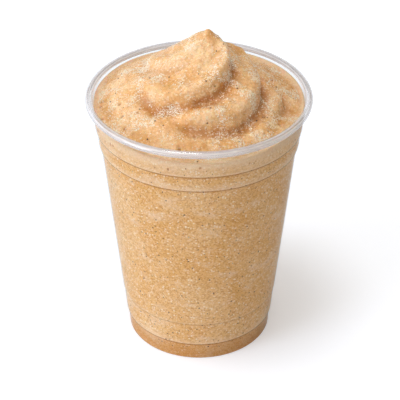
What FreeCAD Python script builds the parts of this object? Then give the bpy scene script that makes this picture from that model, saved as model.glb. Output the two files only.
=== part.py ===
import FreeCAD, Part
import math
import os
from FreeCAD import Vector

# A frozen coffee drink in a clear take-away cup. Lengths in mm, angles in degrees.
# The foot stands on z = 0 and the cup's axis is the z axis. The front is towards -Y.
# A bearing is read from above: 0 at the back (+Y), 90 at the right (+X), 180 at the front.

# Cup: overall sizes
cup_height = 120.8
rim_diameter = 98.0
base_diameter = 65.3
wall = 0.5
roll_diameter = 3.2
roll_end_bearing = 255.0
foot_width = 2.4
floor_rise = 2.0
floor_lean = 0.5

# Cup: steps moulded round the wall, each a lip with the wall set in below it. The lower ones are
# placed up from the foot and out from the foot's edge, the upper ones down from the rim and in
# from the wall's top. Each row holds height or depth, distance from that edge, and inset.
lower_steps = (
    (8.7, 1.4, 0.85),
    (21.4, 2.75, 0.40),
)
upper_steps = (
    (22.1, 2.15, 1.00),
    (14.4, 1.00, 0.95),
)
step_drop = 0.55

# Drink: how far it stands below the rim at the wall, and the mound above that level
level_below_rim = 5.1
level_back_rise = 2.3
level_side_rise = 0.75
peak_above_level = 34.0
peak_offset_x = 4.0
peak_offset_y = 3.0
mound_power = 1.15
steep_side_bearing = 50.0
steep_side_power = 0.55
tip_rounding = 1.4

# Drink: folds of the swirl. Each row holds the bearing and radius where the fold starts, the
# bearing and radius where it reaches the foot of the mound, the bearing where it fades away,
# and how deep it is.
folds = (
    (200.0, 7.5, 285.0, 29.0, 320.0, 1.5),
    (98.0, 7.0, 225.0, 31.5, 262.0, 3.3),
    (40.0, 13.0, 158.0, 33.6, 218.0, 3.5),
    (40.0, 9.5, 106.0, 34.6, 142.0, 2.1),
)
fold_fade = 32.0
fold_clear_of_tip = 8.0
fold_inner_width = 1.9
fold_outer_width = 4.6
fold_bulge_share = 0.5
fold_bulge_reach = 4.6
fold_bulge_width = 3.3

# Drink: how finely the swirl's surface is worked out
surface_step = 2.0
surface_margin = 3.0


def base_radius():
    return base_diameter / 2.0


def mouth_radius():
    """Inside radius of the cup where the wall turns into the rim."""
    return rim_diameter / 2.0 - roll_diameter


def roll_centre_height():
    return cup_height - roll_diameter / 2.0


def step_points(radius, height, inset):
    """The two corners of one moulded step, from the foot upwards."""
    return [(radius - inset, height - step_drop), (radius, height)]


def outer_outline():
    """Outside of the cup from the middle of the floor to the rim, as (radius, height) pairs."""
    inner_foot = base_radius() - foot_width
    points = [(0.0, floor_rise), (inner_foot - floor_lean, floor_rise)]
    points.append((inner_foot, 0.0))
    points.append((base_radius(), 0.0))
    for height, outset, inset in lower_steps:
        points += step_points(base_radius() + outset, height, inset)
    for depth, distance, inset in upper_steps:
        points += step_points(mouth_radius() + wall - distance, cup_height - depth, inset)
    points.append((mouth_radius() + wall, roll_centre_height()))
    return points


def moved_in(points, distance):
    """The outline moved square to itself towards the inside of the cup."""
    lines = []
    for start, end in zip(points[:-1], points[1:]):
        run = end[0] - start[0]
        rise = end[1] - start[1]
        length = math.hypot(run, rise)
        across = (-rise / length * distance, run / length * distance)
        lines.append((start[0] + across[0], start[1] + across[1], run, rise))
    moved = [(0.0, lines[0][1])]
    for first, second in zip(lines[:-1], lines[1:]):
        turn = first[2] * second[3] - first[3] * second[2]
        gap_x = second[0] - first[0]
        gap_z = second[1] - first[1]
        along = (gap_x * second[3] - gap_z * second[2]) / turn
        moved.append((first[0] + along * first[2], first[1] + along * first[3]))
    moved.append((points[-1][0] - distance, points[-1][1]))
    return moved


def inner_outline():
    return moved_in(outer_outline(), wall)


def section_point(pair):
    return Vector(pair[0], 0.0, pair[1])


def roll_point(radius, angle):
    """A point on the rolled rim, with the angle measured from the outside of the rim."""
    centre = mouth_radius() + roll_diameter / 2.0
    turn = math.radians(angle)
    return (centre + radius * math.cos(turn), roll_centre_height() + radius * math.sin(turn))


def roll_arc(radius, end_angle):
    """An arc of the rolled rim from the wall over the top to its free end."""
    start = section_point(roll_point(radius, 180.0))
    middle = section_point(roll_point(radius, (180.0 + end_angle) / 2.0))
    end = section_point(roll_point(radius, end_angle))
    return Part.Arc(start, middle, end).toShape()


def turned(edges):
    """The solid made by turning a closed section once round the cup's axis."""
    face = Part.Face(Part.Wire(Part.__sortEdges__(edges)))
    solid = face.revolve(Vector(0, 0, 0), Vector(0, 0, 1), 360)
    return solid


def straight_edges(points):
    edges = []
    for start, end in zip(points[:-1], points[1:]):
        edges.append(Part.makeLine(section_point(start), section_point(end)))
    return edges


def make_cup():
    outside = outer_outline()
    inside = inner_outline()
    roll_radius = roll_diameter / 2.0
    end_angle = 180.0 - roll_end_bearing
    edges = straight_edges(outside) + straight_edges(inside)
    edges.append(roll_arc(roll_radius, end_angle))
    edges.append(roll_arc(roll_radius - wall, end_angle))
    free_end = (roll_point(roll_radius, end_angle), roll_point(roll_radius - wall, end_angle))
    edges += straight_edges(free_end)
    edges += straight_edges((outside[0], inside[0]))
    return turned(edges)


def level_at(bearing):
    """Height of the drink against the wall."""
    turn = math.radians(bearing)
    rise = level_back_rise * math.cos(turn) - level_side_rise * math.cos(2.0 * turn)
    return cup_height - level_below_rim + rise


def wall_distance(bearing):
    """Distance from the mound's axis to the cup's wall in the direction of a bearing."""
    turn = math.radians(bearing)
    along = peak_offset_x * math.sin(turn) + peak_offset_y * math.cos(turn)
    off_axis = peak_offset_x ** 2 + peak_offset_y ** 2 - mouth_radius() ** 2
    return -along + math.sqrt(along ** 2 - off_axis)


def smooth_step(value):
    held = min(1.0, max(0.0, value))
    return held * held * (3.0 - 2.0 * held)


def fold_height(fold, radius, bearing):
    """How much one fold raises or lowers the surface."""
    start, start_radius, end, end_radius, fade_end, depth = fold
    turn = (bearing - start) % 360.0
    if turn > fade_end - start:
        return 0.0
    share = min(1.0, turn / (end - start))
    line_radius = start_radius + share * (end_radius - start_radius)
    strength = smooth_step(turn / fold_fade) * smooth_step((fade_end - start - turn) / fold_fade)
    strength *= smooth_step(radius / fold_clear_of_tip)
    across = radius - line_radius
    width = fold_outer_width if across > 0.0 else fold_inner_width
    groove = -math.exp(-((across / width) ** 2))
    bulge = math.exp(-(((across + fold_bulge_reach) / fold_bulge_width) ** 2))
    return depth * strength * (groove + fold_bulge_share * bulge)


def blunted(radius):
    """Distance from the mound's axis, eased near the axis so that the tip is rounded."""
    return math.sqrt(radius ** 2 + tip_rounding ** 2) - tip_rounding


def power_at(bearing):
    """How fast the mound falls away from its peak, which is faster on its steep side."""
    facing = math.cos(math.radians(bearing - steep_side_bearing))
    return mound_power + steep_side_power * max(0.0, facing)


def surface_height(x, y):
    """Height of the drink's top at a place in the cup."""
    dx = x - peak_offset_x
    dy = y - peak_offset_y
    radius = math.hypot(dx, dy)
    bearing = math.degrees(math.atan2(dx, dy)) % 360.0
    edge = level_at(bearing)
    share = max(0.0, 1.0 - blunted(radius) / blunted(wall_distance(bearing)))
    peak = cup_height - level_below_rim + peak_above_level
    height = edge + (peak - edge) * share ** power_at(bearing)
    for fold in folds:
        height += fold_height(fold, radius, bearing)
    return height


def make_surface():
    """The swirled top as one smooth face, reaching past the cup's wall on all sides."""
    reach = mouth_radius() + surface_margin
    count = int(math.ceil(2.0 * reach / surface_step)) + 1
    spacing = 2.0 * reach / (count - 1)
    rows = []
    for i in range(count):
        x = -reach + i * spacing
        row = []
        for j in range(count):
            y = -reach + j * spacing
            row.append(Vector(x, y, surface_height(x, y)))
        rows.append(row)
    surface = Part.BSplineSurface()
    surface.interpolate(rows)
    return surface.toShape()


def make_fill():
    """Everything that fits inside the cup, carried on upwards past the mound."""
    inside = inner_outline()
    top = cup_height + 2.0 * peak_above_level
    points = inside + [(inside[-1][0], top), (0.0, top), inside[0]]
    return turned(straight_edges(points))


def make_drink():
    depth = 2.0 * (cup_height + peak_above_level)
    below_surface = make_surface().extrude(Vector(0, 0, -depth))
    drink = make_fill().common(below_surface)
    return drink.Solids[0]


def save(shape, node):
    shape.exportStep(os.path.join("parts", node + ".step"))


os.makedirs("parts", exist_ok=True)
save(make_cup(), "cup")
save(make_drink(), "drink")
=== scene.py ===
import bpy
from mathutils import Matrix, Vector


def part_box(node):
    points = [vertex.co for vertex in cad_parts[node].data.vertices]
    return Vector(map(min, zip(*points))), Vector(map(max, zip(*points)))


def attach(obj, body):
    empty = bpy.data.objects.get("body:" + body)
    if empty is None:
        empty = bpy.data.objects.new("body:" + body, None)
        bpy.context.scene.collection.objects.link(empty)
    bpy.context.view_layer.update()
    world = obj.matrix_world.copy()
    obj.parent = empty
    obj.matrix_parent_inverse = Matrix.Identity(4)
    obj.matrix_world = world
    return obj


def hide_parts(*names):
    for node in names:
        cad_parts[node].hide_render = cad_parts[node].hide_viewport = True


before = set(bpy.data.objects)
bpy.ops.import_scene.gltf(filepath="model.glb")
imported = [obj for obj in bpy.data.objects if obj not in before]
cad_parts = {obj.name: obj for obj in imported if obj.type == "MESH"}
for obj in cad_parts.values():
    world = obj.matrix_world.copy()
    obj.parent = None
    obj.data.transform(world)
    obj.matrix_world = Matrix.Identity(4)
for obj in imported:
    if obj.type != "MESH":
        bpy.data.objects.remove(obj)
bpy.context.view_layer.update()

import math

import bpy
import numpy as np
from mathutils import Vector, noise
from mathutils.bvhtree import BVHTree

# A frozen coffee drink in a clear take-away cup. Lengths in metres. The foot stands on z = 0 and
# the cup's axis is the z axis. The front is towards -Y.

MM = 0.001
RANDOM_SEED = 7

# Cup
CUP_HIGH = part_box("cup")[1]
DRINK_LOW, DRINK_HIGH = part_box("drink")
RIM_TOP = CUP_HIGH[2]
RIM_RADIUS = CUP_HIGH[0]
ROLL_DIAMETER = 3.2 * MM
ROLL_END = -75.0
WALL = 0.5 * MM
STEP_HEIGHTS = (8.4 * MM, 21.1 * MM, RIM_TOP - 22.4 * MM, RIM_TOP - 14.7 * MM)
STEP_REACH = 1.1 * MM
STEP_ROUNDING = 0.16 * MM
FINE_ROW = 0.14 * MM
COARSE_ROW = 3.5 * MM
CUP_SEGMENTS = 288
ROLL_START = 178.0
ROLL_INNER_POINTS = 22
ROLL_OUTER_POINTS = 30
UNDER_COARSE = 6.0 * MM
UNDER_FINE = 0.3 * MM
UNDER_FINE_REACH = 4.0 * MM
UNDER_EDGE_GAP = 0.1 * MM
FOOT_BEVEL = 0.12 * MM
OUTSIDE_LOW = 0.5 * MM
INSIDE_FOOT = 0.7 * MM
INSIDE_PROBE = 0.8 * MM
INSIDE_LOW = 1.0 * MM

# Rays cast at the CAD
RAY_RUN = 10.0 * MM
RAY_CLEAR = 0.05 * MM
NEAR_AXIS = 0.01 * MM
OPEN_SHARE = 0.8

# Drink: mesh
TOP_RINGS = 144
RING_GROWTH = 6
EDGE_SHARE = 3
SIDE_SEGMENTS = TOP_RINGS * RING_GROWTH // EDGE_SHARE
INTO_WALL = 0.12 * MM
FOOT_REACH = 0.40 * MM
FOOT_REACH_TOP = 5.0 * MM
SIDE_LOW = 0.5 * MM
MENISCUS = 0.7 * MM
DRINK_EDGE = RIM_TOP - 10.0 * MM
EDGE_LEVEL = RIM_TOP - 8.3 * MM
EDGE_RISE = 2.0 * MM
MAP_GAP = 0.15 * MM

# Drink: how the swirl's folds are sharpened from the smooth CAD surface
GRID_STEP = 0.5 * MM
BROAD_BLUR = 3.0 * MM
FOLD_GAIN = 0.35
FOLD_LEAN = 0.7
FOLD_SCALE = 1.2 * MM
TIP_CLEAR = (2.0 * MM, 6.0 * MM)
WALL_CLEAR = (0.84, 0.98)

# Drink: relief of the top, with widths and heights in millimetres
LUMP_WIDTH = 5.0
LUMP_HEIGHT = 0.5
DIMPLE_WIDTH = 2.2
DIMPLE_HEIGHT = 0.28
GRAIN_WIDTH = 1.25
GRAIN_HEIGHT = 0.34
CRUMB_WIDTH = 0.7
CRUMB_HEIGHT = 0.22
CELL_EDGE = 0.6
RELIEF_CLEAR = (0.93, 0.985)

# Drink: how the wall's steps are painted in the side, as painted shade in each recess and a
# painted highlight on each lip
STEP_LOOK = 0.3 * MM
STEP_SCALE = 0.25 * MM

# Drink: pits, grains and bubbles, with the sizes of pits and specks in millimetres
PIT_COUNT = 60
PIT_BAND = (0.45, 0.93)
PIT_SIZE = (0.6, 1.2)
PIT_DEPTH = 1.1
PIT_SHADE = (0.3 * MM, 0.8 * MM)
ICE_COUNT = 15500
ICE_SIZE = (0.12 * MM, 0.30 * MM)
ICE_SMALLNESS = 2.2
ICE_THIN = 0.5
ICE_TILT = 0.25
ICE_BLOCKY = 0.5
ICE_STRETCH = (0.6, 1.2)
ICE_ROUGH = 0.16
ICE_LIFT = 0.3
ICE_WALL_GAP = 1.6 * MM
ICE_EVEN = 0.7
ICE_IN_FOLDS = 0.35
ICE_FOLD_START = 0.7
ICE_PATCH = 7.0 * MM
ICE_PATCH_GAIN = 2.4
ICE_PATCH_BASE = 0.12
ICE_PATCH_LIMITS = (0.05, 1.3)
SPECK_ROUGH = 0.2
SPECK_WALL_GAP = 1.0 * MM
TOP_SPECKS = 70
TOP_SPECK_SIZE = (0.2, 0.55)
TOP_SPECK_THIN = 0.6
SIDE_SPECKS = 850
SIDE_SPECK_SMALLEST = 0.24
SIDE_SPECK_SPREAD = 0.22
SIDE_SPECK_THIN = 0.3
SIDE_SPECK_LOW = 3.0 * MM
BUBBLE_COUNT = 34
BUBBLE_DEPTH = (9.0 * MM, 11.5 * MM)
BUBBLE_SIZE = (0.4 * MM, 0.9 * MM)
BUBBLE_SHAPE = (0.7, 1.1, 0.3)

# Camera, as the drink is seen from a little above
CAMERA_ELEVATION = 34.17
CAMERA_DISTANCE = 0.700
CAMERA_AIM = Vector((0.41 * MM, 0.0, 65.1 * MM))
CAMERA_LENS = 139.87
SENSOR = 36.0

random = np.random.default_rng(RANDOM_SEED)


def tree_of(node):
    """Ray casting against a CAD node."""
    graph = bpy.context.evaluated_depsgraph_get()
    return BVHTree.FromObject(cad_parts[node], graph)


cup_tree = tree_of("cup")
drink_tree = tree_of("drink")


def smooth_step(value, low, high):
    share = np.clip((value - low) / (high - low), 0.0, 1.0)
    return share * share * (3.0 - 2.0 * share)


def drink_radius(height):
    """Radius of the drink at a height, which is the wall's inside there."""
    start = Vector((2.0 * RIM_RADIUS, 0.0, max(height, DRINK_LOW[2] + RAY_CLEAR)))
    return drink_tree.ray_cast(start, Vector((-1, 0, 0)))[0].x


def inner_wall(height):
    """Inside radius of the wall, read beside the drink below its level and in the air above it."""
    if height < DRINK_EDGE:
        return drink_radius(height)
    start = Vector((OPEN_SHARE * RIM_RADIUS, 0.0, height))
    return cup_tree.ray_cast(start, Vector((1, 0, 0)))[0].x


def outer_wall(height):
    """Outside radius of the wall, without the rolled rim that hangs outside it."""
    return inner_wall(height) + WALL


def rounded(radius_at, height):
    """The radius at a height with the moulded steps' corners eased."""
    total = 0.0
    for k in range(-3, 4):
        total += radius_at(height + k / 3.0 * STEP_ROUNDING)
    return total / 7.0


def wall_heights(low, high):
    """Heights up the wall, closer together at the moulded steps."""
    heights = []
    height = low
    while height < high:
        heights.append(height)
        near = min(abs(height - step) for step in STEP_HEIGHTS)
        ahead = [step - STEP_REACH - height for step in STEP_HEIGHTS if step > height]
        if near < STEP_REACH + 0.5 * FINE_ROW:
            height += FINE_ROW
        else:
            height += max(FINE_ROW, min([COARSE_ROW] + ahead))
    heights.append(high)
    return heights


def bottom_height(tree, radius):
    """Height of the lowest surface over a place under the cup."""
    start = Vector((radius, 0.0, -RAY_RUN))
    return tree.ray_cast(start, Vector((0, 0, 1)))[0].z


def bottom_rows(tree, edge):
    """The underside from the middle to near its edge, as (radius, height) pairs."""
    rows = [(0.0, bottom_height(tree, NEAR_AXIS))]
    for radius in np.arange(UNDER_COARSE, edge - UNDER_FINE_REACH, UNDER_COARSE):
        rows.append((radius, bottom_height(tree, radius)))
    for radius in np.arange(edge - UNDER_FINE_REACH, edge - UNDER_EDGE_GAP, UNDER_FINE):
        rows.append((radius, bottom_height(tree, radius)))
    return rows


def new_object(name, mesh, material, smooth=True):
    piece = bpy.data.objects.new(name, mesh)
    bpy.context.scene.collection.objects.link(piece)
    mesh.materials.append(material)
    mesh.polygons.foreach_set("use_smooth", [smooth] * len(mesh.polygons))
    return piece


def add_material(mesh, material, first, last):
    """Gives a run of a mesh's faces a second material."""
    mesh.materials.append(material)
    index = np.zeros(len(mesh.polygons), dtype=np.int32)
    index[first:last] = 1
    mesh.polygons.foreach_set("material_index", index)


# Node materials ---------------------------------------------------------------------------------

class Nodes:
    """Short calls for building one node material."""

    def __init__(self, name):
        self.material = bpy.data.materials.new(name)
        self.material.use_nodes = True
        self.tree = self.material.node_tree
        self.tree.nodes.clear()
        self.output = self.add("ShaderNodeOutputMaterial")

    def add(self, kind, **values):
        node = self.tree.nodes.new(kind)
        for key, value in values.items():
            setattr(node, key, value)
        return node

    def link(self, source, target):
        self.tree.links.new(source, target)

    def place(self):
        return self.add("ShaderNodeTexCoord").outputs["Object"]

    def attribute(self, name):
        return self.add("ShaderNodeAttribute", attribute_name=name).outputs["Fac"]

    def scaled(self, vector, scale):
        node = self.add("ShaderNodeMapping")
        node.inputs["Scale"].default_value = scale
        self.link(vector, node.inputs["Vector"])
        return node.outputs[0]

    def by_height(self, place, *stops):
        """A share that changes with height, from (height, share) pairs."""
        node = self.add("ShaderNodeSeparateXYZ")
        self.link(place, node.inputs[0])
        share = self.maths("DIVIDE", node.outputs["Z"], RIM_TOP)
        return self.ramp(share, *[(height / RIM_TOP, value) for height, value in stops])

    def from_axis(self, place):
        """Distance of a place from the cup's axis."""
        length = self.add("ShaderNodeVectorMath", operation="LENGTH")
        self.link(self.scaled(place, (1.0, 1.0, 0.0)), length.inputs[0])
        return length.outputs["Value"]

    def near_wall(self, place):
        """How near a place is to the wall, from 0 away from it to most at it."""
        share = self.add("ShaderNodeMapRange")
        share.inputs["From Min"].default_value = FROTH_REACH[0]
        share.inputs["From Max"].default_value = FROTH_REACH[1]
        share.inputs["To Max"].default_value = FROTH_SHARE
        self.link(self.from_axis(place), share.inputs["Value"])
        return share.outputs[0]

    def red(self, colour):
        node = self.add("ShaderNodeSeparateColor")
        self.link(colour, node.inputs[0])
        return node.outputs[0]

    def noise(self, vector, scale, detail, rough=0.5):
        node = self.add("ShaderNodeTexNoise")
        node.inputs["Scale"].default_value = scale
        node.inputs["Detail"].default_value = detail
        node.inputs["Roughness"].default_value = rough
        self.link(vector, node.inputs["Vector"])
        return node.outputs["Fac"]

    def voronoi(self, vector, scale, output="Distance"):
        node = self.add("ShaderNodeTexVoronoi")
        node.inputs["Scale"].default_value = scale
        self.link(vector, node.inputs["Vector"])
        return node.outputs[output]

    def ramp(self, source, *stops):
        node = self.add("ShaderNodeValToRGB")
        elements = node.color_ramp.elements
        while len(elements) < len(stops):
            elements.new(0.5)
        for element, (position, colour) in zip(elements, stops):
            element.position = position
            if isinstance(colour, (int, float)):
                colour = (colour, colour, colour)
            element.color = (*colour, 1.0)
        self.link(source, node.inputs["Fac"])
        return node.outputs["Color"]

    def mix(self, factor, a, b):
        node = self.add("ShaderNodeMix", data_type="RGBA")
        for value, socket in ((factor, node.inputs[0]), (a, node.inputs[6]), (b, node.inputs[7])):
            if isinstance(value, (int, float)):
                socket.default_value = value
            elif isinstance(value, tuple):
                socket.default_value = (*value, 1.0)
            else:
                self.link(value, socket)
        return node.outputs[2]

    def maths(self, operation, a, b=0.0):
        node = self.add("ShaderNodeMath", operation=operation)
        for value, socket in ((a, node.inputs[0]), (b, node.inputs[1])):
            if isinstance(value, (int, float)):
                socket.default_value = value
            else:
                self.link(value, socket)
        return node.outputs[0]

    def bump(self, height, distance):
        node = self.add("ShaderNodeBump")
        node.inputs["Distance"].default_value = distance
        node.inputs["Strength"].default_value = 1.0
        self.link(height, node.inputs["Height"])
        return node.outputs[0]

    def principled(self, **values):
        node = self.add("ShaderNodeBsdfPrincipled")
        for key, value in values.items():
            socket = node.inputs[key.replace("_", " ")]
            if isinstance(value, bpy.types.NodeSocket):
                self.link(value, socket)
            elif isinstance(value, tuple) and len(value) == 3 and key.endswith("Color"):
                socket.default_value = (*value, 1.0)
            else:
                socket.default_value = value
        return node

    def finish(self, shader):
        self.link(shader, self.output.inputs["Surface"])
        return self.material


def linear(red, green, blue):
    """Scene colour of a screen colour given in 0 to 255."""
    values = []
    for value in (red, green, blue):
        part = value / 255.0
        values.append(part / 12.92 if part <= 0.04045 else ((part + 0.055) / 1.055) ** 2.4)
    return tuple(values)


# How many pattern cells to a metre
TOP_CLOUDS = 110.0
TOP_GRAINS = 1400.0
TOP_FINE = 2600.0
SIDE_CLOUDS = 45.0
SIDE_PATCHES = (60.0, 60.0, 130.0)
SIDE_SMALL = 1700.0
SIDE_LARGE = 900.0
RIM_CLOUDS = 180.0
WALL_RIPPLES = (60.0, 60.0, 25.0)

TOP_MID = linear(230, 174, 104)
# pale tone of the slush, also used as painted light on the crests of the folds
TOP_PALE_AND_LIGHT = linear(250, 213, 163)
# deep tone of the slush's grains, also used as painted shade in the creases and pits
TOP_DEEP_AND_SHADE = linear(170, 98, 28)
FROST = linear(255, 240, 212)
SIDE_MID = linear(232, 178, 111)
SIDE_PALE = linear(240, 196, 140)
SIDE_DEEP = linear(194, 130, 70)
# painted shade for the recess below each moulded step
SIDE_STEP_SHADE = linear(176, 116, 62)
FROTH_REACH = (42.0 * MM, 45.0 * MM)
FROTH_SHARE = 0.6
# froth and painted light: a paler band at the top of the side, just under the rim
FROTH_AND_LIGHT_HEIGHTS = ((RIM_TOP - 12.6 * MM, 0.0), (RIM_TOP - 8.6 * MM, 0.6))
FOOT_HEIGHTS = ((3.0 * MM, 0.5), (8.6 * MM, 0.35), (9.0 * MM, 0.0))
# pale froth colour, also used as painted highlight on the steps' lips
FROTH_AND_HIGHLIGHT = linear(246, 218, 184)
ICE_COLOURS = ((0.3, linear(255, 234, 194)), (0.5, linear(255, 250, 234)))
SPECK_COLOURS = ((0.3, linear(62, 32, 12)), (0.7, linear(120, 70, 32)))
BUBBLE_COLOURS = ((0.3, linear(186, 128, 80)), (0.7, linear(214, 160, 108)))
SLUSH_SCATTER = (1.0, 0.5, 0.22)
WALL_FACE = (0.945, 0.95, 0.952)
WALL_EDGE = (0.86, 0.86, 0.86)
RIM_FACE = (0.97, 0.97, 0.975)
RIM_EDGE = (0.62, 0.62, 0.63)
WALL_IOR = 1.12
# milky haze of the rim, partly cloudier plastic and partly painted reflection
RIM_HAZE_AND_REFLECTION = 0.34
RIM_MILK_AND_REFLECTION = (0.93, 0.93, 0.94)
RIM_BANDS = 0.22
RIM_LINE = (0.89, 0.89, 0.90)
BAND_WIDTH = 1.15 * MM
RIM_IOR = 1.9


def haze_and_reflection_rings(n, clear, face_tint):
    """Milky haze and painted reflection over clear plastic, lying in rings round the cup's axis: a
    milky white that is partly cloudier plastic and partly stands for the rim's reflections, with
    grey lines between the white bands.
    """
    # painted reflection: milky white bands and grey lines in rings round the rolled rim
    turn = n.maths("MULTIPLY", n.from_axis(n.place()), 2.0 * math.pi / BAND_WIDTH)
    wave = n.maths("SINE", turn)
    n.link(n.mix(n.ramp(wave, (0.0, 0.0), (1.0, 1.0)), RIM_LINE, face_tint), clear.inputs["Color"])
    cloud = n.noise(n.place(), RIM_CLOUDS, 2.0)
    share = n.ramp(cloud, (0.3, 0.8 * RIM_HAZE_AND_REFLECTION), (0.7, 1.2 * RIM_HAZE_AND_REFLECTION))
    share = n.maths("ADD", share, n.maths("MULTIPLY", wave, RIM_BANDS))
    milk_and_reflection = n.principled(Base_Color=RIM_MILK_AND_REFLECTION, Roughness=0.35)
    haze_and_reflection = n.add("ShaderNodeMixShader")
    n.link(share, haze_and_reflection.inputs[0])
    n.link(clear.outputs[0], haze_and_reflection.inputs[1])
    n.link(milk_and_reflection.outputs[0], haze_and_reflection.inputs[2])
    return haze_and_reflection


def clear_plastic(name, face, edge, ior, rings=False):
    """Thin clear plastic: what is behind it, greyer where it is seen edge on, and a reflection."""
    n = Nodes(name)
    angle = n.add("ShaderNodeLayerWeight")
    angle.inputs["Blend"].default_value = 0.5
    tint = n.ramp(angle.outputs["Facing"], (0.0, face), (0.55, face), (0.95, edge))
    clear = n.add("ShaderNodeBsdfTransparent")
    if rings:
        body = haze_and_reflection_rings(n, clear, tint)
    else:
        n.link(tint, clear.inputs["Color"])
        body = clear
    ripple = n.noise(n.scaled(n.place(), WALL_RIPPLES), 1.0, 2.0)
    gloss = n.add("ShaderNodeBsdfGlossy")
    gloss.inputs["Roughness"].default_value = 0.06
    n.link(n.bump(ripple, 0.02 * MM), gloss.inputs["Normal"])
    mirror = n.add("ShaderNodeFresnel")
    mirror.inputs["IOR"].default_value = ior
    outside = n.maths("SUBTRACT", 1.0, n.add("ShaderNodeNewGeometry").outputs["Backfacing"])
    both = n.add("ShaderNodeMixShader")
    n.link(n.maths("MULTIPLY", mirror.outputs[0], outside), both.inputs[0])
    n.link(body.outputs[0], both.inputs[1])
    n.link(gloss.outputs[0], both.inputs[2])
    return n.finish(both.outputs[0])


def slush_top():
    n = Nodes("slush_top")
    place = n.place()
    cloud = n.noise(place, TOP_CLOUDS, 4.0, 0.6)
    grain = n.voronoi(place, TOP_GRAINS)
    cell = n.red(n.voronoi(place, TOP_GRAINS, "Color"))
    fine = n.noise(place, TOP_FINE, 2.0)
    hollow = n.attribute("hollow")
    colour = n.mix(n.ramp(cloud, (0.38, 0.0), (0.66, 1.0)), TOP_MID, TOP_PALE_AND_LIGHT)
    # painted shade: the creases between the folds and the open pits are darkened by how hollow
    # they lie
    colour = n.mix(n.ramp(hollow, (0.5, 0.0), (1.0, 0.6)), colour, TOP_DEEP_AND_SHADE)
    # painted light: the crests of the folds are made paler
    colour = n.mix(n.ramp(hollow, (0.0, 0.25), (0.45, 0.0)), colour, TOP_PALE_AND_LIGHT)
    colour = n.mix(n.ramp(cell, (0.1, 0.22), (0.5, 0.0)), colour, TOP_DEEP_AND_SHADE)
    colour = n.mix(n.ramp(cell, (0.8, 0.0), (0.97, 0.45)), colour, FROST)
    colour = n.mix(n.ramp(fine, (0.32, 0.18), (0.5, 0.0)), colour, TOP_DEEP_AND_SHADE)
    colour = n.mix(n.near_wall(place), colour, FROTH_AND_HIGHLIGHT)
    height = n.mix(0.5, grain, fine)
    shader = n.principled(
        Base_Color=colour, Roughness=n.ramp(fine, (0.3, 0.18), (0.7, 0.45)), IOR=1.40,
        Subsurface_Weight=0.5, Subsurface_Radius=SLUSH_SCATTER, Subsurface_Scale=1.1 * MM,
        Normal=n.bump(height, 0.2 * MM))
    return n.finish(shader.outputs[0])


def slush_side():
    n = Nodes("slush_side")
    place = n.place()
    cloud = n.noise(place, SIDE_CLOUDS, 3.0)
    patch = n.noise(n.scaled(place, SIDE_PATCHES), 1.0, 4.0, 0.65)
    small = n.voronoi(place, SIDE_SMALL, "Color")
    large = n.voronoi(place, SIDE_LARGE, "Color")
    core = n.voronoi(place, SIDE_LARGE)
    hollow = n.attribute("hollow")
    colour = n.mix(n.ramp(cloud, (0.35, 0.0), (0.65, 1.0)), SIDE_MID, SIDE_PALE)
    colour = n.mix(n.ramp(n.red(small), (0.10, 0.55), (0.50, 0.0)), colour, SIDE_DEEP)
    colour = n.mix(n.ramp(n.red(small), (0.80, 0.0), (0.97, 0.65)), colour, FROTH_AND_HIGHLIGHT)
    icy = n.maths("MULTIPLY", n.ramp(n.red(large), (0.82, 0.0), (0.88, 1.0)),
                  n.ramp(core, (0.25, 0.7), (0.45, 0.0)))
    colour = n.mix(icy, colour, FROST)
    colour = n.mix(n.ramp(patch, (0.54, 0.0), (0.66, 0.42)), colour, FROTH_AND_HIGHLIGHT)
    # froth and painted light: the side is paler in a band just under the rim
    colour = n.mix(n.by_height(place, *FROTH_AND_LIGHT_HEIGHTS), colour, FROTH_AND_HIGHLIGHT)
    colour = n.mix(n.by_height(place, *FOOT_HEIGHTS), colour, SIDE_DEEP)
    # painted shade: a darker line in the recess below each moulded step
    colour = n.mix(n.ramp(hollow, (0.55, 0.0), (0.9, 0.6)), colour, SIDE_STEP_SHADE)
    # painted highlight: a paler lip above each step
    colour = n.mix(n.ramp(hollow, (0.1, 0.5), (0.45, 0.0)), colour, FROTH_AND_HIGHLIGHT)
    shader = n.principled(
        Base_Color=colour, Roughness=0.6, IOR=1.33, Specular_IOR_Level=0.0,
        Subsurface_Weight=0.2, Subsurface_Radius=SLUSH_SCATTER, Subsurface_Scale=0.4 * MM)
    return n.finish(shader.outputs[0])


def grain_material(name, scale, detail, colours, **surface):
    """For small grains: a fine cloud that runs from one colour to another."""
    n = Nodes(name)
    colour = n.ramp(n.noise(n.place(), scale, detail), *colours)
    return n.finish(n.principled(Base_Color=colour, **surface).outputs[0])


# Cup --------------------------------------------------------------------------------------------

def turned_mesh(name, rows, segments):
    """A mesh made by turning a line of (radius, height) pairs round the cup's axis."""
    turns = np.linspace(0.0, 2.0 * math.pi, segments, endpoint=False)
    points, faces, starts = [], [], []
    for radius, height in rows:
        starts.append(len(points))
        if radius < 1e-7:
            points.append((0.0, 0.0, height))
        else:
            points += [(radius * math.cos(t), radius * math.sin(t), height) for t in turns]
    for row in range(len(rows) - 1):
        a, b = starts[row], starts[row + 1]
        for i in range(segments):
            j = (i + 1) % segments
            if rows[row][0] < 1e-7:
                faces.append((a, b + j, b + i))
            elif rows[row + 1][0] < 1e-7:
                faces.append((a + i, a + j, b))
            else:
                faces.append((a + i, a + j, b + j, b + i))
    mesh = bpy.data.meshes.new(name)
    mesh.from_pydata(points, [], faces)
    mesh.update()
    return mesh


def roll_points(radius, first, last, count):
    """Points along the rolled rim, with angles measured from the outside of the rim."""
    centre = RIM_RADIUS - ROLL_DIAMETER / 2.0
    height = RIM_TOP - ROLL_DIAMETER / 2.0
    turns = np.radians(np.linspace(first, last, count))
    return [(centre + radius * math.cos(t), height + radius * math.sin(t)) for t in turns]


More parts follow.
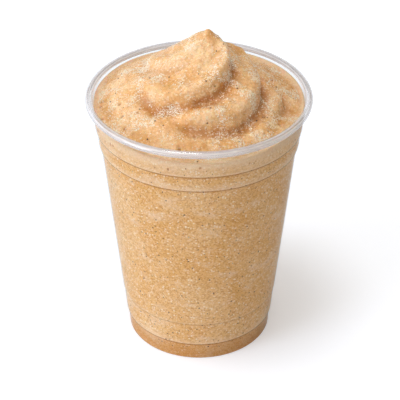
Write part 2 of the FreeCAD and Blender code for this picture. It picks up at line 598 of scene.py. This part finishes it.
def make_cup():
    roll = ROLL_DIAMETER / 2.0
    top = RIM_TOP - roll - STEP_ROUNDING
    foot_edge = outer_wall(RAY_CLEAR)
    rows = bottom_rows(cup_tree, foot_edge)
    rows += [(foot_edge - UNDER_EDGE_GAP, 0.0), (foot_edge, FOOT_BEVEL)]
    for height in wall_heights(OUTSIDE_LOW, top):
        rows.append((rounded(outer_wall, height), height))
    rim_first = len(rows) - 1
    rows += roll_points(roll - WALL, ROLL_START, ROLL_END, ROLL_INNER_POINTS)
    rows += roll_points(roll, ROLL_END, ROLL_START, ROLL_OUTER_POINTS)
    rim_last = len(rows)
    inner_edge = drink_radius(INSIDE_PROBE)
    inside = bottom_rows(drink_tree, inner_edge)
    inside.append((inner_edge, INSIDE_FOOT))
    for height in wall_heights(INSIDE_LOW, top):
        inside.append((rounded(inner_wall, height), height))
    rows += inside[::-1]
    mesh = turned_mesh("cup_clear", rows, CUP_SEGMENTS)
    wall_material = clear_plastic("clear_wall", WALL_FACE, WALL_EDGE, WALL_IOR)
    piece = new_object("cup_clear", mesh, wall_material)
    rim_material = clear_plastic("clear_rim", RIM_FACE, RIM_EDGE, RIM_IOR, rings=True)
    add_material(mesh, rim_material, rim_first * CUP_SEGMENTS, rim_last * CUP_SEGMENTS)
    return piece


cup = make_cup()
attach(cup, "root")
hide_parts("cup")


# Drink: the swirl's height map ------------------------------------------------------------------

MAP_RADIUS = inner_wall(EDGE_LEVEL) - MAP_GAP
MAP_HALF = int(RIM_RADIUS / GRID_STEP) + 4


def top_height(x, y):
    """Height of the CAD drink's top over a place, or over the nearest place inside its edge."""
    share = min(1.0, MAP_RADIUS / max(math.hypot(x, y), MM))
    start = Vector((share * x, share * y, DRINK_HIGH[2] + RAY_RUN))
    return drink_tree.ray_cast(start, Vector((0, 0, -1)))[0].z


def blurred(grid, width):
    """The height map smoothed over a width."""
    reach = int(3.0 * width / GRID_STEP)
    weights = np.exp(-0.5 * (np.arange(-reach, reach + 1) * GRID_STEP / width) ** 2)
    weights /= weights.sum()
    padded = np.pad(grid, reach, mode="edge")
    rows = np.apply_along_axis(np.convolve, 0, padded, weights, "valid")
    return np.apply_along_axis(np.convolve, 1, rows, weights, "valid")


def read_map():
    places = np.arange(-MAP_HALF, MAP_HALF + 1) * GRID_STEP
    return np.array([[top_height(x, y) for y in places] for x in places])


def sampled(grid, x, y):
    """Values of a map at places between its grid points."""
    u = x / GRID_STEP + MAP_HALF
    v = y / GRID_STEP + MAP_HALF
    i = np.floor(u).astype(int)
    j = np.floor(v).astype(int)
    u, v = u - i, v - j
    low = grid[i, j] * (1 - u) + grid[i + 1, j] * u
    high = grid[i, j + 1] * (1 - u) + grid[i + 1, j + 1] * u
    return low * (1 - v) + high * v


top_map = read_map()
broad_map = blurred(top_map, BROAD_BLUR)
fold_map = top_map - broad_map
slope_x, slope_y = np.gradient(broad_map, GRID_STEP)
steepness = np.hypot(slope_x, slope_y) + 1e-3
downhill_x, downhill_y = -slope_x / steepness, -slope_y / steepness
peak_i, peak_j = np.unravel_index(np.argmax(top_map), top_map.shape)
PEAK = ((peak_i - MAP_HALF) * GRID_STEP, (peak_j - MAP_HALF) * GRID_STEP)


# Drink: mesh ------------------------------------------------------------------------------------

def ring_places():
    """Places of the top's points, ring by ring from the middle to the wall."""
    xs, ys = [np.zeros(1)], [np.zeros(1)]
    for ring in range(1, TOP_RINGS + 1):
        turns = np.linspace(0.0, 2.0 * math.pi, RING_GROWTH * ring, endpoint=False)
        radius = ring / TOP_RINGS * MAP_RADIUS
        xs.append(radius * np.cos(turns))
        ys.append(radius * np.sin(turns))
    return np.concatenate(xs), np.concatenate(ys)


def ring_start(ring):
    return 0 if ring == 0 else 1 + RING_GROWTH * ring * (ring - 1) // 2


def ring_faces():
    """Triangles between the top's rings, each of which has six points more than the last."""
    faces = [(0, 1 + i, 1 + (i + 1) % RING_GROWTH) for i in range(RING_GROWTH)]
    for ring in range(1, TOP_RINGS):
        a, b = ring_start(ring), ring_start(ring + 1)
        a_count, b_count = RING_GROWTH * ring, RING_GROWTH * (ring + 1)
        for sector in range(RING_GROWTH):
            for k in range(ring + 1):
                inner = a + (sector * ring + k) % a_count
                outer = b + sector * (ring + 1) + k
                after = b + (sector * (ring + 1) + k + 1) % b_count
                faces.append((inner, outer, after))
                if k < ring:
                    faces.append((inner, after, a + (sector * ring + k + 1) % a_count))
    return faces


def grain_relief(point):
    """How far the slush's grain stands proud of its smooth surface."""
    place = point / MM
    lumps = noise.noise(place / LUMP_WIDTH) * LUMP_HEIGHT
    lumps += noise.noise(place / DIMPLE_WIDTH + Vector((7, 3, 1))) * DIMPLE_HEIGHT
    cells = max(0.0, CELL_EDGE - noise.voronoi(place / GRAIN_WIDTH)[0][0])
    small = max(0.0, CELL_EDGE - noise.voronoi(place / CRUMB_WIDTH + Vector((1, 9, 4)))[0][0])
    return (lumps + cells * GRAIN_HEIGHT + small * CRUMB_HEIGHT) * MM


def pit_depths(x, y):
    """How far small open bubbles lower the top, most of them nearer the wall than the middle."""
    drop = np.zeros_like(x)
    for _ in range(PIT_COUNT):
        turn = random.uniform(0.0, 2.0 * math.pi)
        radius = MAP_RADIUS * math.sqrt(random.uniform(*PIT_BAND))
        size = random.uniform(*PIT_SIZE) * MM
        distance = np.hypot(x - radius * math.cos(turn), y - radius * math.sin(turn)) / size
        drop = np.maximum(drop, np.clip(1.0 - distance ** 2, 0.0, 1.0) * size * PIT_DEPTH)
    return drop


def side_rows():
    """The side from near the top down to the foot, as (radius, height, hollow) rows."""
    rows = []
    low = DRINK_LOW[2] + SIDE_LOW
    for height in wall_heights(low, DRINK_EDGE)[::-1]:
        radius = rounded(inner_wall, height)
        around = [inner_wall(height + k * STEP_LOOK) for k in (-4, -3, -2, -1, 1, 2, 3, 4)]
        # how far a row lies sunk below its neighbours, used for painted shade in the steps'
        # recesses and a painted highlight on their lips
        hollow = (sum(around) / len(around) - radius) / STEP_SCALE
        above_foot = smooth_step(height, low, FOOT_REACH_TOP)
        reach = FOOT_REACH - (FOOT_REACH - INTO_WALL) * above_foot
        rows.append((radius + reach, height, float(np.clip(hollow, -1.0, 1.0))))
    rows.append((rows[-1][0], DRINK_LOW[2] - 0.5 * FOOT_REACH, 0.0))
    for radius, height in bottom_rows(drink_tree, drink_radius(low))[:0:-1]:
        rows.append((radius, height - FOOT_REACH, 0.0))
    return rows


def top_points():
    """The top's points, how hollow each of them lies, and how much of the relief it takes."""
    x, y = ring_places()
    out = np.hypot(x, y)
    fold = sampled(fold_map, x, y)
    fold *= smooth_step(np.hypot(x - PEAK[0], y - PEAK[1]), *TIP_CLEAR)
    fold *= 1.0 - smooth_step(out / MAP_RADIUS, *WALL_CLEAR)
    px = x + FOLD_LEAN * fold * sampled(downhill_x, x, y)
    py = y + FOLD_LEAN * fold * sampled(downhill_y, x, y)
    pits = pit_depths(px, py)
    z = sampled(top_map, x, y) + FOLD_GAIN * fold - pits
    z += MENISCUS * np.exp((out - MAP_RADIUS) / MENISCUS)
    # how hollow each point lies: the top's colour uses it for painted shade in the creases and
    # pits and painted light on the crests
    hollow = np.clip(-fold / FOLD_SCALE, -1.0, 1.0)
    hollow = np.maximum(hollow, smooth_step(pits, *PIT_SHADE) * 2.0 - 1.0)
    # the outermost ring stands on the wall
    edge = ring_start(TOP_RINGS)
    spread = (inner_wall(EDGE_LEVEL + EDGE_RISE) + INTO_WALL) / MAP_RADIUS
    px[edge:] *= spread
    py[edge:] *= spread
    relief = 1.0 - smooth_step(out / MAP_RADIUS, *RELIEF_CLEAR)
    return list(zip(px, py, z)), list(hollow), relief


def add_side(points, hollows, faces):
    """Adds the side and the underside, whose rows have a third of the last ring's points."""
    edge = ring_start(TOP_RINGS)
    dense = RING_GROWTH * TOP_RINGS
    turns = np.linspace(0.0, 2.0 * math.pi, SIDE_SEGMENTS, endpoint=False)
    starts = []
    for radius, height, hollow in side_rows():
        starts.append(len(points))
        points += [(radius * math.cos(t), radius * math.sin(t), height) for t in turns]
        hollows += [hollow] * SIDE_SEGMENTS
    last = len(points)
    points.append((0.0, 0.0, bottom_height(drink_tree, NEAR_AXIS) - FOOT_REACH))
    hollows.append(0.0)
    for i in range(SIDE_SEGMENTS):
        j = (i + 1) % SIDE_SEGMENTS
        upper = [edge + (EDGE_SHARE * i + k) % dense for k in range(EDGE_SHARE + 1)]
        for first, second in zip(upper[:-1], upper[1:]):
            faces.append((first, starts[0] + i, second))
        faces.append((upper[-1], starts[0] + i, starts[0] + j))
        for a, b in zip(starts[:-1], starts[1:]):
            faces.append((a + i, b + i, b + j, a + j))
    for i in range(SIDE_SEGMENTS):
        faces.append((starts[-1] + i, last, starts[-1] + (i + 1) % SIDE_SEGMENTS))


def add_relief(mesh, relief):
    """Moves the top's points along their normals by the slush's grain, up to the last ring."""
    edge = ring_start(TOP_RINGS)
    normals = [Vector(v.vector) for v in mesh.vertex_normals[:edge]]
    for vertex, normal, share in zip(mesh.vertices[:edge], normals, relief):
        vertex.co += normal * (grain_relief(vertex.co) * share)


def make_drink():
    points, hollows, relief = top_points()
    faces = ring_faces()
    side_start = len(faces)
    add_side(points, hollows, faces)
    mesh = bpy.data.meshes.new("slush")
    mesh.from_pydata(points, [], faces)
    mesh.update()
    add_relief(mesh, relief)
    attribute = mesh.attributes.new("hollow", "FLOAT", "POINT")
    attribute.data.foreach_set("value", 0.5 + 0.5 * np.array(hollows, dtype=np.float32))
    mesh.update()
    piece = new_object("slush", mesh, slush_top())
    add_material(mesh, slush_side(), side_start, len(faces))
    return piece


drink = make_drink()
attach(drink, "root")
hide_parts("drink")


# Loose grains -----------------------------------------------------------------------------------

OCTAHEDRON = np.array([
    (1, 0, 0), (-1, 0, 0), (0, 1, 0), (0, -1, 0), (0, 0, 1), (0, 0, -1)], dtype=float)
OCTAHEDRON_FACES = np.array([
    (0, 2, 4), (2, 1, 4), (1, 3, 4), (3, 0, 4), (2, 0, 5), (1, 2, 5), (3, 1, 5), (0, 3, 5)])
BLOCK_HALF = 0.68
BLOCK = np.array([
    (-1, -1, -1), (1, -1, -1), (1, 1, -1), (-1, 1, -1),
    (-1, -1, 1), (1, -1, 1), (1, 1, 1), (-1, 1, 1)], dtype=float) * BLOCK_HALF
BLOCK_FACES = np.array([
    (0, 2, 1), (0, 3, 2), (4, 5, 6), (4, 6, 7), (0, 1, 5), (0, 5, 4),
    (1, 2, 6), (1, 6, 5), (2, 3, 7), (2, 7, 6), (3, 0, 4), (3, 4, 7)])


def facing(normal):
    """A rotation that turns +Z to a direction."""
    return np.array(Vector(normal).to_track_quat("Z", "Y").to_matrix())


def top_triangles():
    """Corners, normals and areas of the drink's top triangles."""
    mesh = drink.data
    spots = np.empty(len(mesh.vertices) * 3)
    mesh.vertices.foreach_get("co", spots)
    spots = spots.reshape(-1, 3)
    faces = [tuple(p.vertices) for p in mesh.polygons if p.material_index == 0]
    corners = spots[np.array(faces)]
    across = np.cross(corners[:, 1] - corners[:, 0], corners[:, 2] - corners[:, 0])
    area = np.linalg.norm(across, axis=1)
    return corners, across / area[:, None], area, np.array(faces)


def joined_grains(name, grains, material):
    """One piece from many small solids, each given as its points and its faces."""
    points, faces = [], []
    count = 0
    for spots, corners in grains:
        points.append(spots)
        faces.append(corners + count)
        count += len(spots)
    mesh = bpy.data.meshes.new(name)
    mesh.from_pydata(np.concatenate(points).tolist(), [], np.concatenate(faces).tolist())
    mesh.update()
    piece = new_object(name, mesh, material, smooth=False)
    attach(piece, "root")
    return piece


def random_places(corners, chances, count):
    """Random places on triangles, and the triangles' numbers."""
    chosen = random.choice(len(corners), size=count, p=chances / chances.sum())
    u, v = random.uniform(size=(2, count))
    swap = u + v > 1.0
    u[swap], v[swap] = 1.0 - u[swap], 1.0 - v[swap]
    picked = corners[chosen]
    spots = picked[:, 0] + u[:, None] * (picked[:, 1] - picked[:, 0])
    spots += v[:, None] * (picked[:, 2] - picked[:, 0])
    return spots, chosen


def make_ice():
    corners, normals, area, faces = top_triangles()
    middles = corners.mean(axis=1)
    hollow = np.empty(len(drink.data.vertices), dtype=np.float32)
    drink.data.attributes["hollow"].data.foreach_get("value", hollow)
    valley = np.clip(2.0 * hollow[faces].mean(axis=1) - ICE_FOLD_START, 0.0, 1.0)
    patches = np.array([noise.noise(Vector(m) / ICE_PATCH) for m in middles])
    patches = np.clip(ICE_PATCH_GAIN * patches + ICE_PATCH_BASE, *ICE_PATCH_LIMITS)
    inside = np.hypot(middles[:, 0], middles[:, 1]) < MAP_RADIUS - ICE_WALL_GAP
    chances = area * inside * (ICE_EVEN + ICE_IN_FOLDS * valley) * patches
    spots, chosen = random_places(corners, chances, ICE_COUNT)
    grains = []
    for spot, face in zip(spots, chosen):
        size = ICE_SIZE[0] + (ICE_SIZE[1] - ICE_SIZE[0]) * random.uniform() ** ICE_SMALLNESS
        shape, shape_faces = OCTAHEDRON, OCTAHEDRON_FACES
        if random.uniform() < ICE_BLOCKY:
            shape, shape_faces = BLOCK, BLOCK_FACES
        stretch = random.uniform(*ICE_STRETCH, size=3)
        rough = random.uniform(-ICE_ROUGH, ICE_ROUGH, size=shape.shape)
        body = (shape + rough) * stretch * size
        body[:, 2] *= ICE_THIN
        centre = spot + normals[face] * size * random.uniform(0.0, ICE_LIFT)
        up = normals[face] + random.normal(0.0, ICE_TILT, size=3)
        grains.append((body @ facing(up).T + centre, shape_faces))
    joined_grains("ice_grains", grains, grain_material("ice_grain", 700.0, 1.0, ICE_COLOURS,
                                                       Roughness=0.18, IOR=1.4))


def flat_grain(size, thin):
    """An uneven grain of a size, thinner along Z."""
    rough = random.uniform(-SPECK_ROUGH, SPECK_ROUGH, size=OCTAHEDRON.shape)
    body = (OCTAHEDRON + rough) * size
    body[:, 2] *= thin
    return body


def make_specks():
    corners, normals, area, _ = top_triangles()
    middles = corners.mean(axis=1)
    inside = np.hypot(middles[:, 0], middles[:, 1]) < MAP_RADIUS - SPECK_WALL_GAP
    spots, chosen = random_places(corners, area * inside, TOP_SPECKS)
    grains = []
    for spot, face in zip(spots, chosen):
        body = flat_grain(random.uniform(*TOP_SPECK_SIZE) * MM, TOP_SPECK_THIN)
        grains.append((body @ facing(normals[face]).T + spot, OCTAHEDRON_FACES))
    for _ in range(SIDE_SPECKS):
        turn = random.uniform(0.0, 2.0 * math.pi)
        height = random.uniform(SIDE_SPECK_LOW, DRINK_EDGE)
        radius = inner_wall(height) + INTO_WALL
        outward = np.array([math.cos(turn), math.sin(turn), 0.0])
        size = (SIDE_SPECK_SMALLEST + SIDE_SPECK_SPREAD * random.uniform() ** 2) * MM
        body = flat_grain(size, SIDE_SPECK_THIN)
        centre = outward * radius + np.array([0.0, 0.0, height])
        grains.append((body @ facing(outward).T + centre, OCTAHEDRON_FACES))
    joined_grains("coffee_specks", grains, grain_material("coffee_speck", 900.0, 2.0,
                                                          SPECK_COLOURS, Roughness=0.45))


def make_bubbles():
    """Small bubbles in the froth, flat against the wall just below the rim."""
    grains = []
    for _ in range(BUBBLE_COUNT):
        turn = random.uniform(0.0, 2.0 * math.pi)
        height = RIM_TOP - random.uniform(*BUBBLE_DEPTH)
        outward = np.array([math.cos(turn), math.sin(turn), 0.0])
        body = BLOCK * random.uniform(*BUBBLE_SIZE) * np.array(BUBBLE_SHAPE)
        centre = outward * (inner_wall(height) + INTO_WALL) + np.array([0.0, 0.0, height])
        grains.append((body @ facing(outward).T + centre, BLOCK_FACES))
    joined_grains("froth_bubbles", grains, grain_material("froth_bubble", 500.0, 1.0,
                                                          BUBBLE_COLOURS, Roughness=0.35))


make_ice()
make_specks()
make_bubbles()


# Stage ------------------------------------------------------------------------------------------

LAMP_AIM = Vector((0.0, 0.0, 0.08))
KEY_PLACE = Vector((-0.25, -0.18, 1.7))
KEY_SIZE = 0.6
KEY_POWER = 8.0
FILL_PLACE = Vector((-1.35, -0.82, 0.42))
FILL_SIZE = 0.8
FILL_POWER = 9.5
FILL_COLOUR = (0.93, 1.0, 1.18)
FLOOR_COLOUR = (0.87, 0.93, 1.0)
FLOOR_GLOW = 0.31
FLOOR_HALF = 4.0
WORLD_DARK = 0.02
WORLD_BRIGHT = 0.88
WORLD_SIDE = Vector((-0.80, -0.42, 0.44))
WORLD_SHADE_TINT = (1.0, 0.76, 0.46)
WORLD_LIGHT_TINT = (1.0, 1.0, 1.06)
BACKDROP_TOP = (0.25, 0.6)


def floor_material():
    n = Nodes("floor")
    grain = n.noise(n.place(), 12.0, 2.0)
    colour = n.mix(grain, tuple(0.99 * c for c in FLOOR_COLOUR), FLOOR_COLOUR)
    shader = n.principled(Base_Color=colour, Roughness=0.9, Specular_IOR_Level=0.0)
    path = n.add("ShaderNodeLightPath")
    seen = n.maths("MAXIMUM", path.outputs["Is Camera Ray"], path.outputs["Is Glossy Ray"])
    seen = n.maths("MAXIMUM", seen, path.outputs["Is Transmission Ray"])
    glow = n.add("ShaderNodeEmission")
    n.link(n.maths("MULTIPLY", seen, FLOOR_GLOW), glow.inputs["Strength"])
    both = n.add("ShaderNodeAddShader")
    n.link(shader.outputs[0], both.inputs[0])
    n.link(glow.outputs[0], both.inputs[1])
    return n.finish(both.outputs[0])


def make_floor():
    mesh = bpy.data.meshes.new("floor")
    signs = ((-1, -1), (1, -1), (1, 1), (-1, 1))
    corners = [(FLOOR_HALF * x, FLOOR_HALF * y, 0.0) for x, y in signs]
    mesh.from_pydata(corners, [], [(0, 1, 2, 3)])
    floor = new_object("floor", mesh, floor_material(), smooth=False)


def aim(item, target):
    item.rotation_euler = (target - item.location).to_track_quat("-Z", "Y").to_euler()


def make_lamp(name, place, size, power, colour=(1.0, 1.0, 1.0)):
    light = bpy.data.lights.new(name, "AREA")
    light.shape = "DISK"
    light.size = size
    light.energy = power
    light.color = colour
    lamp = bpy.data.objects.new(name, light)
    lamp.location = place
    bpy.context.scene.collection.objects.link(lamp)
    aim(lamp, LAMP_AIM)


def make_world():
    """Soft light that is stronger from the left, and a white backdrop behind the floor."""
    world = bpy.data.worlds.new("studio")
    bpy.context.scene.world = world
    world.use_nodes = True
    tree = world.node_tree
    nodes, links = tree.nodes, tree.links
    direction = nodes.new("ShaderNodeTexCoord").outputs["Generated"]
    along = nodes.new("ShaderNodeVectorMath")
    along.operation = "DOT_PRODUCT"
    along.inputs[1].default_value = WORLD_SIDE.normalized()
    links.new(direction, along.inputs[0])
    soft = nodes.new("ShaderNodeMapRange")
    soft.inputs["From Min"].default_value = -1.0
    soft.inputs["To Min"].default_value = WORLD_DARK
    soft.inputs["To Max"].default_value = WORLD_BRIGHT
    links.new(along.outputs["Value"], soft.inputs["Value"])
    split = nodes.new("ShaderNodeSeparateXYZ")
    links.new(direction, split.inputs[0])
    backdrop = nodes.new("ShaderNodeMapRange")
    backdrop.inputs["From Min"].default_value = BACKDROP_TOP[0]
    backdrop.inputs["From Max"].default_value = BACKDROP_TOP[1]
    backdrop.inputs["To Min"].default_value = 1.0
    backdrop.inputs["To Max"].default_value = 0.0
    links.new(split.outputs["Z"], backdrop.inputs["Value"])
    path = nodes.new("ShaderNodeLightPath")
    seen = path.outputs["Is Camera Ray"]
    for name in ("Is Glossy Ray", "Is Transmission Ray"):
        most = nodes.new("ShaderNodeMath")
        most.operation = "MAXIMUM"
        links.new(seen, most.inputs[0])
        links.new(path.outputs[name], most.inputs[1])
        seen = most.outputs[0]
    shown = nodes.new("ShaderNodeMath")
    shown.operation = "MULTIPLY"
    links.new(seen, shown.inputs[0])
    links.new(backdrop.outputs[0], shown.inputs[1])
    strength = nodes.new("ShaderNodeMix")
    links.new(shown.outputs[0], strength.inputs["Factor"])
    links.new(soft.outputs[0], strength.inputs["A"])
    strength.inputs["B"].default_value = 1.0
    links.new(strength.outputs["Result"], nodes["Background"].inputs["Strength"])
    facing_side = nodes.new("ShaderNodeMapRange")
    facing_side.inputs["From Min"].default_value = -1.0
    links.new(along.outputs["Value"], facing_side.inputs["Value"])
    tint = nodes.new("ShaderNodeMix")
    tint.data_type = "RGBA"
    links.new(facing_side.outputs[0], tint.inputs[0])
    tint.inputs[6].default_value = (*WORLD_SHADE_TINT, 1.0)
    tint.inputs[7].default_value = (*WORLD_LIGHT_TINT, 1.0)
    colour = nodes.new("ShaderNodeMix")
    colour.data_type = "RGBA"
    links.new(shown.outputs[0], colour.inputs[0])
    links.new(tint.outputs[2], colour.inputs[6])
    colour.inputs[7].default_value = (1.0, 1.0, 1.0, 1.0)
    links.new(colour.outputs[2], nodes["Background"].inputs["Color"])


def make_camera():
    rise = math.radians(CAMERA_ELEVATION)
    away = Vector((0.0, -math.cos(rise), math.sin(rise))) * CAMERA_DISTANCE
    data = bpy.data.cameras.new("camera")
    data.lens = CAMERA_LENS
    data.sensor_width = SENSOR
    camera = bpy.data.objects.new("camera", data)
    camera.location = Vector((0.0, 0.0, CAMERA_AIM.z)) + away
    bpy.context.scene.collection.objects.link(camera)
    aim(camera, CAMERA_AIM)
    bpy.context.scene.camera = camera


make_floor()
make_lamp("key", KEY_PLACE, KEY_SIZE, KEY_POWER)
make_lamp("fill", FILL_PLACE, FILL_SIZE, FILL_POWER, FILL_COLOUR)
make_world()
make_camera()
bpy.context.scene.view_settings.view_transform = "Standard"
